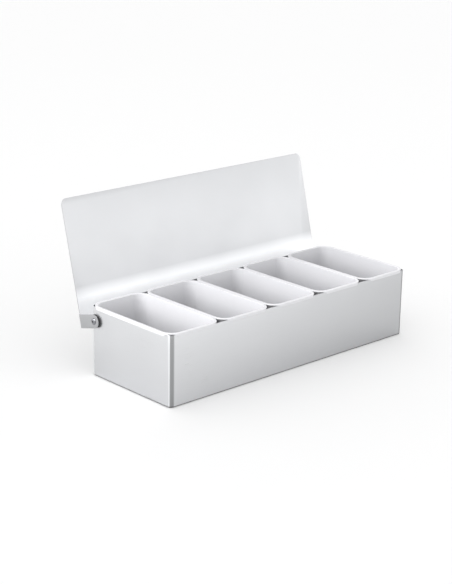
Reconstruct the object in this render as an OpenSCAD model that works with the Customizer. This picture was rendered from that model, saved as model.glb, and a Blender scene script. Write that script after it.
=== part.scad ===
// Bar condiment dispenser: an open steel housing with five loose plastic inserts in a row,
// and a sheet lid that swings over the back on two ears riveted to the end walls.
// Origin: centre of the housing's underside. +X runs along the row, -Y is the front, +Z is up.
// The lid is drawn open, leaning back on its stop.

/* [Housing] */
// Length of the housing over its end walls
body_l = 460; // [400:5:520]
// Depth of the housing over its front and back walls
body_w = 167; // [150:1:190]
// Height of the housing to its top edge
body_h = 101; // [96:1:120]
// Thickness of the housing's sheet
body_t = 0.9; // [0.7:0.1:1.2]
// Outer radius of the upright corners
corner_r = 7; // [5:0.5:10]
// Outer radius of the bend round the base
base_r = 2.5; // [1.5:0.5:4]

/* [Inserts] */
// Width of the rim, from its outer edge to the cavity
rim_w = 4.6; // [4.5:0.1:5.2]
// Thickness of the rim, which stands on the housing's top edge
rim_t = 1.8; // [1.4:0.1:2.4]
// Outer radius of the rim's corners
rim_r = 20; // [18:0.5:24]
// Radius on the rim's upper edges
rim_edge_r = 0.9; // [0.5:0.1:1.1]
// Drop of the lip below the housing's top edge
lip_drop = 2.6; // [2:0.1:4]
// Thickness of the lip
lip_t = 1; // [0.8:0.1:1.2]
// How far the lip stands out from the front and back walls
lip_out = 1.5; // [1.3:0.1:1.7]
// How far the outermost lips stand out from the end walls
end_out = 2.1; // [1.6:0.1:2.4]
// Gap on each side of the housing's wall where the lip is cut to let it through
wall_gap = 0.3; // [0.2:0.1:0.4]
// Gap between neighbouring inserts
insert_gap = 0.3; // [0.2:0.1:0.6]
// Thickness of an insert's walls
insert_t = 1.2; // [1:0.1:1.3]
// Thickness of an insert's floor
floor_t = 1.8; // [1.4:0.1:2.4]
// Depth of an insert below the housing's top edge
insert_depth = 90; // [70:1:93]
// Slope of an insert's walls, in degrees
draft = 3; // [2.5:0.1:3.5]
// Radius between an insert's walls and floor, inside
floor_r = 6; // [4:0.5:8]

/* [Lid] */
// Thickness of the lid's sheet
lid_t = 1; // [0.8:0.1:1.2]
// Height of the lid above the pivot, along its slope
lid_h = 171; // [164:0.5:190]
// Radius of the lid's two free corners
lid_r = 9; // [5:0.5:14]
// Lean of the open lid, in degrees past upright
lid_lean = 14.2; // [12:0.1:16]
// Distance from the pivot to the lid's inner face
lid_back = 31.5; // [30.5:0.5:34]
// Width of the ears
ear_w = 19.5; // [16:0.5:20]
// Inner radius of the lid's bends
bend_r = 0.6; // [0.5:0.1:0.9]
// Distance from the pivot down to the inner face of the stop skirt
skirt_in = 13.2; // [13.1:0.1:14.5]
// Distance from each end wall's plane in to the skirt's end
skirt_inset = 26; // [10:1:60]
// Gap between the skirt's edge and the back wall when open
stop_gap = 0.3; // [0.2:0.1:0.5]
// Gap between the lid and the rims when shut
shut_gap = 0.3; // [0.2:0.1:0.5]

/* [Pivots] */
// Distance from the back wall's outer face to the pivot
pivot_in = 10; // [9.9:0.1:10.2]
// Distance from the housing's top edge down to the pivot
pivot_drop = 20; // [19:0.5:22]
// Thickness of the plastic washer between wall and ear
washer_t = 2.9; // [2.7:0.1:3.5]
// Outer diameter of the washer
washer_d = 19; // [15:0.5:19]
// Side play of the ear between washer and rivet head
ear_play = 0.1; // [0.05:0.05:0.2]
// Diameter of the rivet's shank
rivet_d = 4.8; // [4:0.1:5]
// Diameter of the rivet's domed head
head_d = 9.5; // [8:0.5:12]
// Height of the rivet's domed head
head_h = 1.7; // [1.2:0.1:2.2]
// Diameter of the rivet's set tail
tail_d = 5.8; // [5.4:0.1:6]
// Height of the rivet's set tail
tail_h = 1.8; // [1.4:0.1:1.9]
// Diameter of the mandrel left in the rivet
mandrel_d = 2.2; // [1.8:0.1:2.6]
// Radial clearance of every round fit
fit_gap = 0.05; // [0.02:0.01:0.1]

/* [Hidden] */
$fn = 96;
insert_n = 5;
over = 1;
insert_pitch = (body_l + 2 * end_out + insert_gap) / insert_n;
insert_l = insert_pitch - insert_gap;
insert_w = body_w + 2 * lip_out;
pivot = [0, body_w / 2 - pivot_in, body_h - pivot_drop];
ear_in = body_l / 2 + washer_t + ear_play;
ear_out = ear_in + lid_t;
bend_out = bend_r + lid_t;
skirt_out = skirt_in + lid_t;
skirt_half = body_l / 2 - skirt_inset;
// Height of the skirt's edge above the pivot's level in the lid's own frame, where it meets the wall
skirt_edge = (pivot_in + stop_gap + skirt_out * sin(lid_lean)) / cos(lid_lean);
mandrel_head_d = mandrel_d + 1.4;
mandrel_head_h = 0.8;
mandrel_recess = 0.4;
head_brim = 0.4;
steel = [0.80, 0.81, 0.82];
rivet_steel = [0.72, 0.73, 0.75];
white_plastic = [0.95, 0.95, 0.94];
black_plastic = [0.08, 0.08, 0.09];

// Half-section of a tub: from the axis out to a sloping wall of radius r at z = 0,
// down to a floor at -depth, with a round between wall and floor
module tub_section(r, depth, slope, round_r) {
    floor_at = r - depth * tan(slope);
    centre_x = floor_at + round_r * tan(slope) - round_r / cos(slope);
    centre_z = round_r - depth;
    polygon([
        [0, 0], [r, 0],
        [centre_x + round_r * cos(slope), centre_z - round_r * sin(slope)],
        [centre_x, centre_z], [centre_x, -depth], [0, -depth]
    ]);
    intersection() {
        translate([centre_x, centre_z]) circle(round_r);
        translate([centre_x - over, -depth]) square([round_r + over, round_r]);
    }
}

// Half-section of a flat ring's block with its upper outer edge rounded
module rim_section(r, low, high, round_r) {
    translate([0, low]) square([r, high - low - round_r]);
    translate([0, low]) square([r - round_r, high - low]);
    translate([r - round_r, high - round_r]) circle(round_r);
}

// Carries a half-section round a rectangle with corners of radius r;
// the core between the corners' centres is filled from low to high
module round_block(l, w, r, low, high) {
    x = l / 2 - r;
    y = w / 2 - r;
    translate([-x, -y, low]) cube([2 * x, 2 * y, high - low]);
    for (turn = [0, 180]) rotate([0, 0, turn]) {
        translate([-x, y, 0]) rotate([90, 0, 90]) linear_extrude(2 * x) children();
        translate([x, y, 0]) rotate([90, 0, 0]) linear_extrude(2 * y) children();
        translate([x, y, 0]) rotate_extrude(angle = 90) children();
        translate([-x, y, 0]) rotate([0, 0, 90]) rotate_extrude(angle = 90) children();
    }
}

// Section of a sheet bent square: one leg up the y axis, one along x,
// both measured from the outer corner at the origin
module bend_section(leg_x, leg_y) {
    translate([bend_out, 0]) square([leg_x - bend_out, lid_t]);
    translate([0, bend_out]) square([lid_t, leg_y - bend_out]);
    intersection() {
        square(bend_out);
        translate([bend_out, bend_out]) difference() {
            circle(bend_out);
            circle(bend_r);
        }
    }
}

// A cylinder along X, from x = a to x = b, round the pivot's axis
module x_cylinder(a, b, r) {
    translate([a, 0, 0]) rotate([0, 90, 0]) cylinder(h = b - a, r = r);
}

// Puts a right-hand pivot piece on the given end of the housing: 1 right, -1 left
module at_pivot(side) {
    translate(pivot) mirror([side < 0 ? 1 : 0, 0, 0]) children();
}

module housing() {
    color(steel) difference() {
        translate([0, 0, body_h]) round_block(body_l, body_w, corner_r, -body_h, 0)
            tub_section(corner_r, body_h, 0, base_r);
        translate([0, 0, body_h])
            round_block(body_l - 2 * body_t, body_w - 2 * body_t, corner_r - body_t, body_t - body_h, over)
            union() {
                tub_section(corner_r - body_t, body_h - body_t, 0, base_r - body_t);
                square([corner_r - body_t, over]);
            }
        for (side = [-1, 1]) at_pivot(side)
            x_cylinder(body_l / 2 - body_t - over, body_l / 2 + over, rivet_d / 2 + fit_gap);
    }
}

// The lip's height of the housing's walls, with a gap on both faces
module wall_slot() {
    outer = corner_r + wall_gap;
    inner = corner_r - body_t - wall_gap;
    difference() {
        round_block(body_l + 2 * wall_gap, body_w + 2 * wall_gap, outer, -lip_drop - over, 0)
            translate([0, -lip_drop - over]) square([outer, lip_drop + over]);
        round_block(body_l - 2 * (corner_r - inner), body_w - 2 * (corner_r - inner), inner, -lip_drop - 2 * over, over)
            translate([0, -lip_drop - 2 * over]) square([inner, lip_drop + 3 * over]);
    }
}

// One insert, numbered from the left
module insert(number) {
    x = (number - (insert_n + 1) / 2) * insert_pitch;
    cavity_r = rim_r - rim_w;
    wall_r = cavity_r + insert_t;
    cavity_l = insert_l - 2 * rim_w;
    cavity_w = insert_w - 2 * rim_w;
    color(white_plastic) translate([x, 0, body_h]) difference() {
        union() {
            difference() {
                round_block(insert_l, insert_w, rim_r, -lip_drop, rim_t)
                    rim_section(rim_r, -lip_drop, rim_t, rim_edge_r);
                round_block(insert_l - 2 * lip_t, insert_w - 2 * lip_t, rim_r - lip_t, -lip_drop - over, 0)
                    translate([0, -lip_drop - over]) square([rim_r - lip_t, lip_drop + over]);
                translate([-x, 0, 0]) wall_slot();
            }
            round_block(cavity_l + 2 * insert_t, cavity_w + 2 * insert_t, wall_r, -insert_depth, over / 2)
                union() {
                    tub_section(wall_r, insert_depth, draft, floor_r + insert_t);
                    square([wall_r, over / 2]);
                }
        }
        translate([0, 0, rim_t]) round_block(cavity_l, cavity_w, cavity_r, floor_t - insert_depth - rim_t, over)
            union() {
                tub_section(cavity_r, insert_depth + rim_t - floor_t, draft, floor_r);
                square([cavity_r, over]);
                difference() {
                    translate([cavity_r - over / 2, -rim_edge_r])
                        square([rim_edge_r + over / 2, rim_edge_r + over]);
                    translate([cavity_r + rim_edge_r, -rim_edge_r]) circle(rim_edge_r);
                }
            }
    }
}

// The lid's sheet, upright in its own frame: the pivot's axis is x, the sheet stands behind it
module lid_sheet() {
    edge_x = ear_out - bend_out;
    translate([0, lid_back + lid_t, 0]) rotate([90, 0, 0]) linear_extrude(lid_t) {
        translate([-edge_x, -ear_w / 2]) square([2 * edge_x, lid_h - lid_r + ear_w / 2]);
        translate([lid_r - edge_x, 0]) square([2 * (edge_x - lid_r), lid_h]);
        for (side = [-1, 1]) translate([side * (edge_x - lid_r), lid_h - lid_r]) circle(lid_r);
    }
}

// The stop skirt along the lid's lower edge, with the bend that joins it to the sheet
module lid_skirt() {
    translate([-skirt_half, lid_back + lid_t, -skirt_out]) rotate([90, 0, 90]) linear_extrude(2 * skirt_half)
        mirror([1, 0]) bend_section(lid_back + lid_t - skirt_edge, skirt_out);
}

// The right ear: bent forward from the sheet, round at the pivot, drilled for the rivet
module lid_ear() {
    difference() {
        union() {
            translate([ear_out, lid_back + lid_t, -ear_w / 2]) linear_extrude(ear_w)
                rotate([0, 0, 180]) bend_section(bend_out + over, lid_back + lid_t);
            x_cylinder(ear_in, ear_out, ear_w / 2);
        }
        x_cylinder(ear_in - over, ear_out + over, rivet_d / 2 + fit_gap);
    }
}

module lid() {
    color(steel) translate(pivot) rotate([-lid_lean, 0, 0]) {
        lid_sheet();
        lid_skirt();
        for (side = [0, 1]) mirror([side, 0, 0]) lid_ear();
    }
}

module pivot_washer(side) {
    color(black_plastic) at_pivot(side) difference() {
        x_cylinder(body_l / 2, body_l / 2 + washer_t, washer_d / 2);
        x_cylinder(body_l / 2 - over, body_l / 2 + washer_t + over, rivet_d / 2 + fit_gap);
    }
}

// Half-section of the blind rivet: domed head outside the ear, set tail inside the wall,
// hollow for its mandrel; x is the radius and y runs along the axis, outwards
module rivet_section() {
    head_in = ear_out + ear_play;
    wall_in = body_l / 2 - body_t;
    tail_end = wall_in - tail_h;
    dome_h = head_h - head_brim;
    dome_r = (pow(head_d / 2, 2) + pow(dome_h, 2)) / (2 * dome_h);
    bore_r = mandrel_d / 2 + fit_gap;
    difference() {
        union() {
            translate([0, tail_end]) square([rivet_d / 2, head_in - tail_end]);
            translate([0, tail_end]) square([tail_d / 2, tail_h]);
            translate([0, head_in]) square([head_d / 2, head_brim]);
            intersection() {
                translate([0, head_in + head_h - dome_r]) circle(dome_r);
                translate([0, head_in + head_brim]) square([head_d, dome_h]);
            }
        }
        translate([-over, tail_end - over]) square([bore_r + over, head_in + head_h + 2 * over - tail_end]);
        translate([-over, tail_end - over]) square([mandrel_head_d / 2 + fit_gap + over, mandrel_head_h + over]);
    }
}

module pivot_rivet(side) {
    color(rivet_steel) at_pivot(side) rotate([0, 90, 0]) rotate_extrude() rivet_section();
}

module rivet_mandrel(side) {
    tail_end = body_l / 2 - body_t - tail_h;
    color(steel) at_pivot(side) {
        x_cylinder(tail_end, ear_out + ear_play + head_h - mandrel_recess, mandrel_d / 2);
        x_cylinder(tail_end, tail_end + mandrel_head_h, mandrel_head_d / 2);
    }
}

housing();
insert(1);  // insert_1
insert(2);  // insert_2
insert(3);  // insert_3
insert(4);  // insert_4
insert(5);  // insert_5
lid();
pivot_washer(-1);  // left_pivot_washer
pivot_washer(1);  // right_pivot_washer
pivot_rivet(-1);  // left_pivot_rivet
pivot_rivet(1);  // right_pivot_rivet
rivet_mandrel(-1);  // left_rivet_mandrel
rivet_mandrel(1);  // right_rivet_mandrel
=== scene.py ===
"""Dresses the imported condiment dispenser: brushed steel housing and lid, white inserts, riveted pivots."""
import logging
import math
from dataclasses import dataclass
from enum import Enum

import bmesh
import bpy
from mathutils import Matrix, Vector


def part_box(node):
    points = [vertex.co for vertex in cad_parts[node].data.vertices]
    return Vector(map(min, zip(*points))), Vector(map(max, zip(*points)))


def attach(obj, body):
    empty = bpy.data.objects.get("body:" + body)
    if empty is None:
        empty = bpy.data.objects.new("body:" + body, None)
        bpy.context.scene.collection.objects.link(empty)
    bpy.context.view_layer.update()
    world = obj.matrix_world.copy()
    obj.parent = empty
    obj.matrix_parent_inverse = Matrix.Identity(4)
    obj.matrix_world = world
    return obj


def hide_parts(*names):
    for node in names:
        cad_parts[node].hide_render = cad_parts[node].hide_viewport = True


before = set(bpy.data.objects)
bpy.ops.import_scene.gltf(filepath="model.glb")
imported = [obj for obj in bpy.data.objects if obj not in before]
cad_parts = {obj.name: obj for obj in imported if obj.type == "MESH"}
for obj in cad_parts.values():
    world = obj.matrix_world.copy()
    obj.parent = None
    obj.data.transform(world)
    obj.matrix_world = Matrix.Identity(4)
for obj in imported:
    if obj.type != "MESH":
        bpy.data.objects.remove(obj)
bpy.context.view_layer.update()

MM = 0.001
LOG = logging.getLogger("dispenser")
Point = tuple[float, float]
Place = tuple[float, float, float]
Socket = bpy.types.NodeSocket
Fade = tuple[Socket, Point, Point]

# Folds sharper than this many degrees stay crisp, on a swept skin and on a copy of a CAD mesh.
SKIN_FOLD = 40.0
SHEET_FOLD = 35.0
# A copy of a CAD mesh is merged within this many millimetres, facets that turn by fewer degrees are
# joined, and edges sharper than the last angle are cut edges, whose deburring is a bevel of this many
# segments and this profile.
MERGE_MM = 0.002
FLAT_FACET = 0.6
CUT_EDGE = 50.0
CUT_SEGMENTS = 2
CUT_PROFILE = 0.6


def linear(hex_colour: str) -> tuple[float, float, float, float]:
    """Turns an sRGB hex colour into linear light.

    Args:
        hex_colour: six hex digits after a hash.

    Returns:
        Red, green, blue and an alpha of 1, linear.
    """
    parts = [int(hex_colour[i:i + 2], 16) / 255 for i in (1, 3, 5)]
    return tuple(c / 12.92 if c <= 0.04045 else ((c + 0.055) / 1.055) ** 2.4 for c in parts) + (1.0,)


def shaded(hex_colour: str, share: float) -> list[float]:
    """Turns an sRGB hex colour into linear light and darkens it to a share."""
    return [c * share for c in linear(hex_colour)[:3]] + [1.0]


def metres(span: Point) -> Point:
    """Turns a span in millimetres into metres."""
    return span[0] * MM, span[1] * MM


def add_node(tree: bpy.types.NodeTree, kind: str, values: dict | None = None, **settings) -> bpy.types.Node:
    """Adds a node with its settings, and its inputs' values or links.

    Args:
        tree: the node tree that gets the node.
        kind: the node's type name.
        values: input name or number to a value, or to the output socket that feeds it.
        settings: attributes of the node.

    Returns:
        The new node.
    """
    node = tree.nodes.new(kind)
    for name, value in settings.items():
        setattr(node, name, value)
    for name, value in (values or {}).items():
        if isinstance(value, Socket):
            tree.links.new(value, node.inputs[name])
        else:
            node.inputs[name].default_value = value
    return node


def mask(tree: bpy.types.NodeTree, *fades: Fade) -> Socket:
    """Multiplies fades, each of which is level beyond the ends of its span.

    Args:
        tree: the material's tree.
        fades: for each, the socket that it follows, its span, and its values at the span's ends.

    Returns:
        Their product.
    """
    product = None
    for follows, span, ends in fades:
        fade = add_node(tree, "ShaderNodeMapRange", {
            "Value": follows, "From Min": span[0], "From Max": span[1],
            "To Min": ends[0], "To Max": ends[1]}).outputs["Result"]
        if product is None:
            product = fade
            continue
        product = add_node(tree, "ShaderNodeMath", {0: product, 1: fade}, operation="MULTIPLY").outputs[0]
    return product


@dataclass(frozen=True)
class Spot:
    """Where a point of a surface lies: along the length, out from its middle, and up, in metres."""

    along: Socket
    out: Socket
    up: Socket

    @classmethod
    def on(cls, tree: bpy.types.NodeTree, place: Socket) -> "Spot":
        """Reads a spot from the Object coordinates.

        Args:
            tree: the material's tree.
            place: the Object coordinates.

        Returns:
            The spot's three sockets.
        """
        axes = add_node(tree, "ShaderNodeSeparateXYZ", {"Vector": place}).outputs
        out = add_node(tree, "ShaderNodeMath", {0: axes["X"]}, operation="ABSOLUTE")
        return cls(axes["X"], out.outputs[0], axes["Z"])


class Grain(Enum):
    """The direction in which a sheet was brushed, as a stretch of the scratches' noise."""

    LEVEL = (0.02, 0.02, 1.0)
    NONE = (1.0, 1.0, 1.0)


@dataclass(frozen=True)
class PaintedEndShade:
    """Painted shade near both ends of the length, with soft borders."""

    from_mm: float
    to_mm: float
    shade: float
    soft_in_mm: float = 1.8
    soft_out_mm: float = 1.0

    def paint_shade(self, tree: bpy.types.NodeTree, spot: Spot, colour: Socket, steel: str) -> Socket:
        """Paints shade over the band.

        Args:
            tree: the material's tree.
            spot: the surface's place.
            colour: the colour so far.
            steel: the steel's own colour, in hex, that the band is a shade of.

        Returns:
            The colour with its painted shade.
        """
        inner = metres((self.from_mm - self.soft_in_mm, self.from_mm))
        outer = metres((self.to_mm, self.to_mm + self.soft_out_mm))
        factor = mask(tree, (spot.out, inner, (0.0, 1.0)), (spot.out, outer, (1.0, 0.0)))
        painted_end_shade = add_node(tree, "ShaderNodeMix", {
            "Factor": factor, "A": colour, "B": shaded(steel, self.shade)}, data_type="RGBA")
        return painted_end_shade.outputs[2]


@dataclass(frozen=True)
class StudioTone:
    """Light and shade that a photo studio lays on the shell, held in place on the steel.

    The shell deepens towards its far end, its foot and its lower edge, and each upright bend starts
    with a bright line.
    """

    length_mm: Point = (-230.0, 230.0)
    far_shade: float = 0.78
    foot_mm: Point = (5.0, 60.0)
    foot_shade: float = 0.95
    edge_mm: Point = (1.5, 2.1)
    edge_shade: float = 0.4
    gleam_rise_mm: Point = (228.3, 228.8)
    gleam_fall_mm: Point = (229.2, 229.6)
    gleam: float = 0.4

    def lay(self, tree: bpy.types.NodeTree, spot: Spot, colour: Socket) -> Socket:
        """Lays the painted light and shade over a colour.

        Args:
            tree: the material's tree.
            spot: the surface's place.
            colour: the colour so far.

        Returns:
            The toned colour.
        """
        shade = mask(tree, (spot.along, metres(self.length_mm), (1.0, self.far_shade)),
                     (spot.up, metres(self.foot_mm), (self.foot_shade, 1.0)),
                     (spot.up, metres(self.edge_mm), (self.edge_shade, 1.0)))
        line = mask(tree, (spot.out, metres(self.gleam_rise_mm), (0.0, self.gleam)),
                    (spot.out, metres(self.gleam_fall_mm), (1.0, 0.0)))
        light = add_node(tree, "ShaderNodeMath", {0: line, 1: 1.0}, operation="ADD")
        painted_light = add_node(tree, "ShaderNodeMath", {0: shade, 1: light.outputs[0]}, operation="MULTIPLY")
        toned = add_node(tree, "ShaderNodeVectorMath", {0: colour, "Scale": painted_light.outputs[0]},
                         operation="SCALE")
        return toned.outputs["Vector"]


@dataclass(frozen=True)
class RimBounce:
    """Light that white rims throw up on the lid's inner face, as a faint glow near its foot."""

    up_mm: Point = (98.0, 119.0)
    strength: float = 0.55
    ends_mm: Point = (231.8, 232.8)
    facing: Point = (-0.9, -0.4)
    colour: str = "#f6f7f8"

    def glow(self, tree: bpy.types.NodeTree, spot: Spot, shader: bpy.types.Node) -> None:
        """Lets the faces that look to the front glow near the foot, but not the ears.

        Args:
            tree: the material's tree.
            spot: the surface's place.
            shader: the node that gets the glow.
        """
        turned = add_node(tree, "ShaderNodeTexCoord").outputs["Normal"]
        forward = add_node(tree, "ShaderNodeSeparateXYZ", {"Vector": turned}).outputs["Y"]
        strength = mask(tree, (spot.up, metres(self.up_mm), (self.strength, 0.0)),
                        (spot.out, metres(self.ends_mm), (1.0, 0.0)),
                        (forward, self.facing, (1.0, 0.0)))
        tree.links.new(strength, shader.inputs["Emission Strength"])
        shader.inputs["Emission Color"].default_value = linear(self.colour)


@dataclass(frozen=True)
class BrushedSteel:
    """Stainless sheet brushed with a belt: fine parallel scratches that smear its reflections.

    The scratches are drawn coarser than real ones, which are a few hundredths of a millimetre wide, so
    that they show in the render.
    """

    name: str
    colour: str
    roughness: float
    grain: Grain = Grain.LEVEL
    scratch_mm: float = 0.35
    scratch_detail: float = 3.0
    cloud_mm: float = 60.0
    cloud_detail: float = 2.0
    depth: float = 0.05
    groove_shade: float = 0.94
    groove_depth: float = 0.2
    rough_spread: float = 0.05
    noise_sum: Point = (0.6, 1.4)
    painted_end_shade: PaintedEndShade | None = None
    painted_light: StudioTone | None = None
    bounce: RimBounce | None = None

    def lit(self, tree: bpy.types.NodeTree, place: Socket, colour: Socket, shader: bpy.types.Node) -> Socket:
        """Adds the painted end shade, the painted light and shade, and the painted glow of rim light that
        this steel is given.

        Args:
            tree: the material's tree.
            place: the Object coordinates.
            colour: the brushed colour.
            shader: the node that gets a bounce's glow.

        Returns:
            The colour with its painted shade and light.
        """
        spot = Spot.on(tree, place)
        if self.painted_end_shade:
            colour = self.painted_end_shade.paint_shade(tree, spot, colour, self.colour)
        if self.painted_light:
            colour = self.painted_light.lay(tree, spot, colour)
        if self.bounce:
            self.bounce.glow(tree, spot, shader)
        return colour

    def build(self) -> bpy.types.Material:
        """Builds the material: scratches in roughness and bump, and faint broad clouds.

        Returns:
            The new material.
        """
        material = bpy.data.materials.new(self.name)
        material.use_nodes = True
        tree = material.node_tree
        shader = tree.nodes["Principled BSDF"]
        shader.inputs["Metallic"].default_value = 1.0
        place = add_node(tree, "ShaderNodeTexCoord").outputs["Object"]
        along = add_node(tree, "ShaderNodeMapping", {"Vector": place, "Scale": self.grain.value})
        scratch = add_node(tree, "ShaderNodeTexNoise", {
            "Vector": along.outputs["Vector"], "Scale": 1 / (self.scratch_mm * MM),
            "Detail": self.scratch_detail})
        cloud = add_node(tree, "ShaderNodeTexNoise", {
            "Vector": place, "Scale": 1 / (self.cloud_mm * MM), "Detail": self.cloud_detail})
        both = add_node(tree, "ShaderNodeMath", {0: scratch.outputs["Fac"], 1: cloud.outputs["Fac"]},
                        operation="ADD")
        spread = (self.roughness - self.rough_spread, self.roughness + self.rough_spread)
        rough = mask(tree, (both.outputs[0], self.noise_sum, spread))
        tint = add_node(tree, "ShaderNodeMix", {
            "Factor": scratch.outputs["Fac"], "A": shaded(self.colour, self.groove_shade),
            "B": linear(self.colour)}, data_type="RGBA")
        colour = self.lit(tree, place, tint.outputs[2], shader)
        tree.links.new(colour, shader.inputs["Base Color"])
        tree.links.new(rough, shader.inputs["Roughness"])
        bump = add_node(tree, "ShaderNodeBump", {
            "Height": scratch.outputs["Fac"], "Strength": self.depth,
            "Distance": self.scratch_mm * MM * self.groove_depth})
        tree.links.new(bump.outputs["Normal"], shader.inputs["Normal"])
        return material


@dataclass(frozen=True)
class MouldedPlastic:
    """Injection-moulded plastic: a soft gloss with a faint waviness from the mould."""

    name: str
    colour: str
    roughness: float
    ior: float = 1.49
    wave_mm: float = 9.0
    wave_range: Point = (0.3, 0.7)
    wave_shade: float = 0.97
    rough_spread: float = 0.04
    grit_mm: float = 0.5
    grit_depth_mm: float = 0.05
    grit_strength: float = 0.06
    # Painted shade: the colour darkens downwards between these heights, standing for the shade inside a tub.
    deep_mm: Point = (45.0, 97.0)
    painted_depth_shade: float = 1.0

    def build(self) -> bpy.types.Material:
        """Builds the material: clouded roughness, faint mould waves, a fine grit and painted shade that
        darkens it downwards.

        Returns:
            The new material.
        """
        material = bpy.data.materials.new(self.name)
        material.use_nodes = True
        tree = material.node_tree
        shader = tree.nodes["Principled BSDF"]
        shader.inputs["IOR"].default_value = self.ior
        place = add_node(tree, "ShaderNodeTexCoord").outputs["Object"]
        wave = add_node(tree, "ShaderNodeTexNoise", {"Vector": place, "Scale": 1 / (self.wave_mm * MM)})
        grit = add_node(tree, "ShaderNodeTexNoise", {"Vector": place, "Scale": 1 / (self.grit_mm * MM)})
        spread = (self.roughness - self.rough_spread, self.roughness + self.rough_spread)
        rough = mask(tree, (wave.outputs["Fac"], self.wave_range, spread))
        tint = add_node(tree, "ShaderNodeMix", {
            "Factor": wave.outputs["Fac"], "A": shaded(self.colour, self.wave_shade),
            "B": linear(self.colour)}, data_type="RGBA")
        bump = add_node(tree, "ShaderNodeBump", {
            "Height": grit.outputs["Fac"], "Strength": self.grit_strength,
            "Distance": self.grit_depth_mm * MM})
        # Painted shade: darker towards the tub's floor.
        depth = mask(tree, (Spot.on(tree, place).up, metres(self.deep_mm), (self.painted_depth_shade, 1.0)))
        depth_shaded = add_node(tree, "ShaderNodeVectorMath", {0: tint.outputs[2], "Scale": depth}, operation="SCALE")
        tree.links.new(depth_shaded.outputs["Vector"], shader.inputs["Base Color"])
        tree.links.new(rough, shader.inputs["Roughness"])
        tree.links.new(bump.outputs["Normal"], shader.inputs["Normal"])
        return material


def arc(centre: Point, radius: float, start: float, end: float, steps: int) -> list[Point]:
    """Gives points along an arc.

    Args:
        centre: its centre.
        radius: its radius.
        start: the first point's angle, in degrees.
        end: the last point's angle, in degrees.
        steps: how many chords it has.

    Returns:
        The points, with both ends.
    """
    angles = [math.radians(start + (end - start) * i / steps) for i in range(steps + 1)]
    return [(centre[0] + radius * math.cos(a), centre[1] + radius * math.sin(a)) for a in angles]


@dataclass
class RoundSweep:
    """A closed skin swept round a rectangle with round corners, from its axis out and back."""

    length: float
    width: float
    corner_r: float
    corner_steps: int = 14

    def ring(self, radius: float, z: float) -> list[Vector]:
        """Gives one level ring, whose corners keep their centres.

        Args:
            radius: the ring's corner radius.
            z: its height.

        Returns:
            Its points, in order round it.
        """
        x = self.length / 2 - self.corner_r
        y = self.width / 2 - self.corner_r
        points = []
        for sx, sy, first in ((1, 1, 0), (-1, 1, 90), (-1, -1, 180), (1, -1, 270)):
            for px, py in arc((sx * x, sy * y), radius, first, first + 90, self.corner_steps):
                points.append(Vector((px, py, z)))
        return points

    def mesh(self, name: str, section: list[Point]) -> bpy.types.Mesh:
        """Sweeps a section and closes its first and last rings with flat floors.

        Args:
            name: the mesh's name.
            section: corner radius and height of each ring, in order along the skin.

        Returns:
            The closed mesh in metres, its faces outwards and shaded smooth between sharp folds.
        """
        shape = bmesh.new()
        rings = [[shape.verts.new(p * MM) for p in self.ring(r, z)] for r, z in section]
        count = len(rings[0])
        for low, high in zip(rings, rings[1:]):
            for i in range(count):
                j = (i + 1) % count
                shape.faces.new((low[i], low[j], high[j], high[i]))
        shape.faces.new(rings[0])
        shape.faces.new(rings[-1])
        bmesh.ops.recalc_face_normals(shape, faces=shape.faces)
        return finish_mesh(shape, name, SKIN_FOLD)


def finish_mesh(shape: bmesh.types.BMesh, name: str, fold: float) -> bpy.types.Mesh:
    """Writes a mesh that is smooth, apart from edges sharper than a fold.

    Args:
        shape: the geometry, which is freed.
        name: the mesh's name.
        fold: the sharpest smooth fold, in degrees.

    Returns:
        The new mesh.
    """
    for face in shape.faces:
        face.smooth = True
    for edge in shape.edges:
        edge.smooth = len(edge.link_faces) == 2 and edge.calc_face_angle(0.0) < math.radians(fold)
    mesh = bpy.data.meshes.new(name)
    shape.to_mesh(mesh)
    shape.free()
    return mesh


def new_piece(mesh: bpy.types.Mesh, material: bpy.types.Material, body: str,
              nodes: tuple[str, ...]) -> bpy.types.Object:
    """Links a mesh as a piece that rides on a body and stands for CAD nodes.

    Args:
        mesh: the finished mesh, its place baked in.
        material: its finish.
        body: the body it rides on.
        nodes: the CAD nodes it replaces.

    Returns:
        The new object.
    """
    piece = bpy.data.objects.new(mesh.name, mesh)
    bpy.context.scene.collection.objects.link(piece)
    mesh.materials.clear()
    mesh.materials.append(material)
    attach(piece, body)
    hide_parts(*nodes)
    LOG.info("piece %s: %d faces on %s", piece.name, len(mesh.polygons), body)
    return piece


def cleaned(node: str, name: str, bevel_mm: float) -> bpy.types.Mesh:
    """Copies a CAD node's mesh, merges it and softens its cut edges.

    Args:
        node: the CAD node.
        name: the new mesh's name.
        bevel_mm: the width broken off each edge.

    Returns:
        The new mesh, smooth apart from its folds.
    """
    shape = bmesh.new()
    shape.from_mesh(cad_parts[node].data)
    bmesh.ops.remove_doubles(shape, verts=shape.verts, dist=MERGE_MM * MM)
    flat, sharp = math.radians(FLAT_FACET), math.radians(CUT_EDGE)
    bmesh.ops.dissolve_limit(shape, angle_limit=flat, verts=shape.verts, edges=shape.edges)
    edges = [e for e in shape.edges if len(e.link_faces) == 2 and e.calc_face_angle(0.0) > sharp]
    bmesh.ops.bevel(shape, geom=edges, offset=bevel_mm * MM, segments=CUT_SEGMENTS, profile=CUT_PROFILE,
                    affect="EDGES")
    return finish_mesh(shape, name, SHEET_FOLD)


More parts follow.
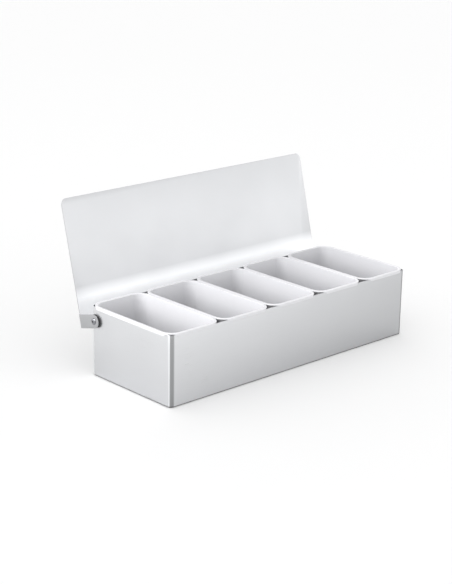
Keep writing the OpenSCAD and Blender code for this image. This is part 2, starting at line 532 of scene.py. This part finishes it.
@dataclass
class Housing:
    """The folded steel shell, open at the top."""

    sheet: float = 0.9
    corner_r: float = 7.0
    base_r: float = 2.5
    edge_r: float = 0.3
    steps: int = 6
    edge_steps: int = 3
    corner_steps: int = 10
    # Brushed stainless: a soft, level smear of the floor and sky, with a painted dark reflection strip on
    # each upright bend and painted light and shade over the shell.
    finish: BrushedSteel = BrushedSteel(
        "brushed_stainless_housing", "#d8d9db", 0.32, painted_end_shade=PaintedEndShade(224.6, 228.3, 0.45), painted_light=StudioTone())

    def section(self, height: float) -> list[Point]:
        """Gives the shell's section, from the middle of its underside to that of its floor.

        Args:
            height: the height of the shell's top edge.

        Returns:
            The corner radius and height of each ring.
        """
        outer = self.corner_r
        inner = outer - self.sheet
        bend = self.base_r
        bend_in = bend - self.sheet
        lip = self.edge_r
        return ([(outer - bend, 0.0)] + arc((outer - bend, bend), bend, -90, 0, self.steps)[1:]
                + arc((outer - lip, height - lip), lip, 0, 90, self.edge_steps)
                + arc((inner + lip, height - lip), lip, 90, 180, self.edge_steps)
                + arc((inner - bend_in, bend), bend_in, 0, -90, self.steps))

    def build(self) -> None:
        """Makes the shell at the CAD node's size, in place of it."""
        low, high = (Vector(c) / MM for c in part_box("housing"))
        sweep = RoundSweep(high.x - low.x, high.y - low.y, self.corner_r, self.corner_steps)
        mesh = sweep.mesh("steel_shell", self.section(high.z))
        new_piece(mesh, self.finish.build(), "housing", ("housing",))


@dataclass
class Inserts:
    """The row of loose plastic tubs, each with a rim and a lip."""

    names: tuple[str, ...] = ("insert_1", "insert_2", "insert_3", "insert_4", "insert_5")
    rim_w: float = 4.6
    rim_t: float = 1.8
    rim_r: float = 20.0
    edge_r: float = 0.9
    lip_drop: float = 2.6
    lip_t: float = 1.0
    lip_flat: float = 0.2
    wall: float = 1.2
    floor: float = 1.8
    draft: float = 3.0
    floor_r: float = 6.0
    wall_gap: float = 0.3
    lip_end: float = 0.02
    slack: float = 0.1
    steps: int = 8
    edge_steps: int = 6
    lip_steps: int = 3
    # Moulded white plastic: matt from a step away, with a soft sheen on the rims and painted shade deepening
    # down the inside.
    finish: MouldedPlastic = MouldedPlastic("moulded_white_plastic", "#d2d2d5", 0.34, painted_depth_shade=0.74)

    def wall_foot(self, radius: float, depth: float, round_r: float, top: float) -> list[Point]:
        """Gives a sloping wall's round down to its floor, from the wall inwards.

        Args:
            radius: the wall's corner radius at its top.
            depth: how far below its top the floor lies.
            round_r: the radius of the round.
            top: the height of its top.

        Returns:
            The corner radius and height of each ring.
        """
        slope = math.radians(self.draft)
        x = radius - depth * math.tan(slope) + round_r * math.tan(slope) - round_r / math.cos(slope)
        return arc((x, top - depth + round_r), round_r, -self.draft, -90, self.steps)

    def section(self, top: float, foot: float) -> list[Point]:
        """Gives the tub's section: underside, wall, lip, rim, cavity and floor.

        Args:
            top: the height of the rim's top.
            foot: the height of the tub's underside.

        Returns:
            The corner radius and height of each ring.
        """
        cavity = self.rim_r - self.rim_w
        outer = cavity + self.wall
        edge = self.edge_r
        steel = top - self.rim_t
        under = self.wall_foot(outer, steel - foot, self.floor_r + self.wall, steel)[::-1]
        inside = self.wall_foot(cavity, top - foot - self.floor, self.floor_r, top)
        lip_in = self.rim_r - self.lip_t
        lip_low = steel - self.lip_drop
        soft = (self.lip_t - self.lip_flat) / 2
        rim = (arc((self.rim_r - soft, lip_low + soft), soft, -90, 0, self.lip_steps)
               + arc((self.rim_r - edge, top - edge), edge, 0, 90, self.edge_steps)
               + arc((cavity + edge, top - edge), edge, 90, 180 - self.draft, self.edge_steps))
        return under + [(outer, steel), (lip_in, steel), (lip_in, lip_low)] + rim + inside

    def lip_vertices(self, count: int, rings: int) -> range:
        """Gives the numbers of the lip's vertices.

        Args:
            count: how many vertices the tub has.
            rings: how many rings they stand in.

        Returns:
            Those of the lip's two inner folds and its rounded foot, which follow the wall's rings.
        """
        ring = count // rings
        first = self.steps + 2
        last = first + 2 + self.lip_steps
        return range(first * ring, (last + 1) * ring)

    def free_lip(self, shape: bmesh.types.BMesh, steel: float, rings: int) -> None:
        """Ends the lip where it would cross the housing's walls, as the slots in the CAD lip do.

        Args:
            shape: one tub in its place.
            steel: the height of the housing's top edge.
            rings: how many rings the tub's vertices stand in.
        """
        high = Vector(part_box("housing")[1])
        gap = self.wall_gap * MM
        lip = self.lip_vertices(len(shape.verts), rings)
        low = (steel - self.lip_drop - self.slack) * MM
        top = (steel - self.slack) * MM
        for vert in shape.verts:
            inside = abs(vert.co.x) < high.x + gap and abs(vert.co.y) < high.y + gap
            if inside and low < vert.co.z < top and vert.index in lip:
                vert.co.z = (steel - self.lip_end) * MM

    def row(self, tub: bpy.types.Object, pitch: float, material: bpy.types.Material) -> bpy.types.Mesh:
        """Repeats one tub along the row with a node tree.

        Args:
            tub: the tub, centred on the row's middle.
            pitch: the distance from one tub to the next, in metres.
            material: the tubs' finish.

        Returns:
            One mesh with every tub in it, in order.
        """
        tree = bpy.data.node_groups.new("row_of_inserts", "GeometryNodeTree")
        for socket, kind in (("Tub", "NodeSocketObject"), ("Count", "NodeSocketInt"),
                             ("Pitch", "NodeSocketFloat"), ("Finish", "NodeSocketMaterial")):
            tree.interface.new_socket(socket, in_out="INPUT", socket_type=kind)
        tree.interface.new_socket("Row", in_out="OUTPUT", socket_type="NodeSocketGeometry")
        given = add_node(tree, "NodeGroupInput").outputs
        gaps = add_node(tree, "ShaderNodeMath", {0: given["Count"], 1: 1.0}, operation="SUBTRACT")
        reach = add_node(tree, "ShaderNodeMath", {0: gaps.outputs[0], 1: given["Pitch"]},
                         operation="MULTIPLY")
        start = add_node(tree, "ShaderNodeMath", {0: reach.outputs[0], 1: -0.5}, operation="MULTIPLY")
        first = add_node(tree, "ShaderNodeCombineXYZ", {"X": start.outputs[0]})
        step = add_node(tree, "ShaderNodeCombineXYZ", {"X": given["Pitch"]})
        line = add_node(tree, "GeometryNodeMeshLine", {
            "Count": given["Count"], "Start Location": first.outputs[0], "Offset": step.outputs[0]})
        source = add_node(tree, "GeometryNodeObjectInfo", {"Object": given["Tub"]})
        copies = add_node(tree, "GeometryNodeInstanceOnPoints", {
            "Points": line.outputs["Mesh"], "Instance": source.outputs["Geometry"]})
        real = add_node(tree, "GeometryNodeRealizeInstances", {"Geometry": copies.outputs[0]})
        dressed = add_node(tree, "GeometryNodeSetMaterial", {
            "Geometry": real.outputs[0], "Material": given["Finish"]})
        add_node(tree, "NodeGroupOutput", {"Row": dressed.outputs[0]})
        holder = bpy.data.objects.new("row_holder", bpy.data.meshes.new("row_holder"))
        bpy.context.scene.collection.objects.link(holder)
        modifier = holder.modifiers.new("row", "NODES")
        modifier.node_group = tree
        inputs = {i.name: i.identifier for i in tree.interface.items_tree if i.in_out == "INPUT"}
        modifier[inputs["Tub"]] = tub
        modifier[inputs["Count"]] = len(self.names)
        modifier[inputs["Pitch"]] = pitch
        modifier[inputs["Finish"]] = material
        graph = bpy.context.evaluated_depsgraph_get()
        mesh = bpy.data.meshes.new_from_object(holder.evaluated_get(graph))
        holder.modifiers.remove(modifier)
        bpy.data.objects.remove(holder)
        return mesh

    def build(self) -> None:
        """Makes the row and parts it, so that each tub is its own piece."""
        low, high = (Vector(c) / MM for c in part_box(self.names[0]))
        last = Vector(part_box(self.names[-1])[0]) / MM
        steel = high.z - self.rim_t
        sweep = RoundSweep(high.x - low.x, high.y - low.y, self.rim_r)
        section = self.section(high.z, low.z)
        mesh = sweep.mesh("tub", section)
        tub = bpy.data.objects.new("tub", mesh)
        bpy.context.scene.collection.objects.link(tub)
        material = self.finish.build()
        pitch = (last.x - low.x) / (len(self.names) - 1) * MM
        whole = self.row(tub, pitch, material)
        size = len(whole.vertices) // len(self.names)
        for number, name in enumerate(self.names):
            shape = bmesh.new()
            shape.from_mesh(whole)
            shape.verts.ensure_lookup_table()
            own = range(number * size, (number + 1) * size)
            others = [v for v in shape.verts if v.index not in own]
            bmesh.ops.delete(shape, geom=others, context="VERTS")
            shape.verts.index_update()
            self.free_lip(shape, steel, len(section))
            part = finish_mesh(shape, f"white_{name}", SKIN_FOLD)
            new_piece(part, material, "housing", (name,))
        bpy.data.objects.remove(tub)
        LOG.info("rims stand on the steel at %.1f mm", steel)


@dataclass
class Lid:
    """The bent sheet lid, with its ears and stop skirt."""

    bevel: float = 0.22
    # Brushed stainless, a little duller than the housing, with painted shade darkening its ears and end
    # edges, and a painted glow of rim light near the foot of its inner face.
    finish: BrushedSteel = BrushedSteel(
        "brushed_stainless_lid", "#c5c6c8", 0.36, painted_end_shade=PaintedEndShade(233.0, 240.0, 0.8), bounce=RimBounce())

    def build(self) -> None:
        """Makes the lid from the CAD sheet, with its cut edges broken."""
        new_piece(cleaned("lid", "steel_lid", self.bevel), self.finish.build(), "lid", ("lid",))


@dataclass
class Pivots:
    """Washer, rivet and mandrel at each end of the hinge."""

    # Black nylon swallows the light between ear and wall, the drawn rivet is smooth with one bright
    # highlight, and the mandrel's snapped end is rough and painted near black for the shade in the rivet's
    # centre.
    washer: MouldedPlastic = MouldedPlastic("moulded_black_nylon", "#141415", 0.45, ior=1.53)
    rivet: BrushedSteel = BrushedSteel("drawn_rivet_steel", "#8e8f93", 0.22, Grain.NONE, scratch_mm=0.8)
    mandrel: BrushedSteel = BrushedSteel("snapped_wire_steel", "#232325", 0.5, Grain.NONE,
                                         scratch_mm=0.3, cloud_mm=4.0, depth=0.3)
    washer_bevel: float = 0.25
    rivet_bevel: float = 0.08
    mandrel_bevel: float = 0.1

    def build(self) -> None:
        """Makes the six small pieces."""
        parts = (("pivot_washer", self.washer.build(), "washer_plastic", self.washer_bevel),
                 ("pivot_rivet", self.rivet.build(), "rivet_steel", self.rivet_bevel),
                 ("rivet_mandrel", self.mandrel.build(), "mandrel_steel", self.mandrel_bevel))
        for side in ("left", "right"):
            for part, material, slot, bevel in parts:
                node = f"{side}_{part}"
                mesh = cleaned(node, f"{node}_dressed", bevel)
                new_piece(mesh, material, "housing", (node,))


@dataclass(frozen=True)
class SoftBox:
    """A square soft light that faces the object."""

    name: str
    place: Place
    size: float
    watts: float
    aim: Place = (0.0, 0.0, 0.08)

    def hang(self) -> bpy.types.Object:
        """Hangs the light.

        Returns:
            The new light.
        """
        data = bpy.data.lights.new(self.name, "AREA")
        data.size = self.size
        data.energy = self.watts
        lamp = bpy.data.objects.new(self.name, data)
        lamp.location = self.place
        lamp.rotation_euler = (Vector(self.aim) - Vector(self.place)).to_track_quat("-Z", "Y").to_euler()
        bpy.context.scene.collection.objects.link(lamp)
        return lamp


@dataclass
class Studio:
    """Pale floor, soft lights and the camera at the photograph's angle."""

    azimuth: float = -42.881
    elevation: float = 17.879
    roll: float = 0.89
    aim: Place = (0.0, 0.0, 50.0)
    slide: Place = (-40.3, 41.06, 2143.0)
    lens: float = 91.594
    sight: float = 50.0
    floor_size: float = 9.0
    floor_colour: str = "#f4f4f4"
    floor_roughness: float = 0.9
    floor_glow: float = 0.02
    horizon: float = 2.03
    zenith: float = 0.95
    fade_at: float = 0.5
    top: SoftBox = SoftBox("top_softbox", (-0.3, -0.2, 2.2), 2.2, 4.0)
    left: SoftBox = SoftBox("left_softbox", (-1.5, 0.25, 0.9), 1.0, 24.0)

    def camera(self) -> None:
        """Places the camera."""
        az, el, roll = (math.radians(v) for v in (self.azimuth, self.elevation, self.roll))
        back = Vector((math.sin(az) * math.cos(el), -math.cos(az) * math.cos(el), math.sin(el)))
        right = Vector((0, 0, 1)).cross(back).normalized()
        up = back.cross(right)
        right, up = right * math.cos(roll) + up * math.sin(roll), up * math.cos(roll) - right * math.sin(roll)
        turn = Matrix((right, up, back)).transposed()
        data = bpy.data.cameras.new("camera")
        data.lens = self.lens
        data.clip_end = self.sight
        eye = bpy.data.objects.new("camera", data)
        place = (Vector(self.aim) + turn @ Vector(self.slide)) * MM
        eye.matrix_world = Matrix.Translation(place) @ turn.to_4x4()
        bpy.context.scene.collection.objects.link(eye)
        bpy.context.scene.camera = eye

    def floor(self) -> bpy.types.Object:
        """Lays the floor.

        Returns:
            The floor, which is part of the stage.
        """
        shape = bmesh.new()
        bmesh.ops.create_grid(shape, x_segments=1, y_segments=1, size=self.floor_size / 2)
        mesh = finish_mesh(shape, "floor", SKIN_FOLD)
        material = bpy.data.materials.new("pale_floor")
        material.use_nodes = True
        shader = material.node_tree.nodes["Principled BSDF"]
        shader.inputs["Base Color"].default_value = linear(self.floor_colour)
        shader.inputs["Roughness"].default_value = self.floor_roughness
        shader.inputs["Emission Color"].default_value = linear("#ffffff")
        shader.inputs["Emission Strength"].default_value = self.floor_glow
        mesh.materials.append(material)
        floor = bpy.data.objects.new("floor", mesh)
        bpy.context.scene.collection.objects.link(floor)
        return floor

    def lights(self, floor: bpy.types.Object) -> None:
        """Hangs the lights, and flags the left one off the floor so that it lights the walls alone.

        Args:
            floor: the floor that the left light leaves out.
        """
        self.top.hang()
        left = self.left.hang()
        flagged = bpy.data.collections.new("flagged_from_left_softbox")
        flagged.objects.link(floor)
        flagged.collection_objects[0].light_linking.link_state = "EXCLUDE"
        left.light_linking.receiver_collection = flagged

    def sky(self) -> None:
        """Lights the room evenly, brighter at the horizon than overhead."""
        world = bpy.data.worlds.new("studio")
        world.use_nodes = True
        tree = world.node_tree
        white = tree.nodes["Background"]
        white.inputs["Color"].default_value = linear("#ffffff")
        place = add_node(tree, "ShaderNodeTexCoord").outputs["Generated"]
        height = add_node(tree, "ShaderNodeSeparateXYZ", {"Vector": place}).outputs["Z"]
        strength = mask(tree, (height, (0.0, self.fade_at), (self.horizon, self.zenith)))
        tree.links.new(strength, white.inputs["Strength"])
        bpy.context.scene.world = world

    def build(self) -> None:
        """Sets the stage."""
        self.camera()
        self.lights(self.floor())
        self.sky()
        bpy.context.scene.view_settings.view_transform = "Standard"


def main() -> None:
    """Builds every sub-assembly in order."""
    logging.basicConfig(level=logging.INFO, format="%(message)s")
    for assembly in (Studio(), Housing(), Inserts(), Lid(), Pivots()):
        assembly.build()
        LOG.info("built %s", type(assembly).__name__)


if __name__ == "__main__":
    main()
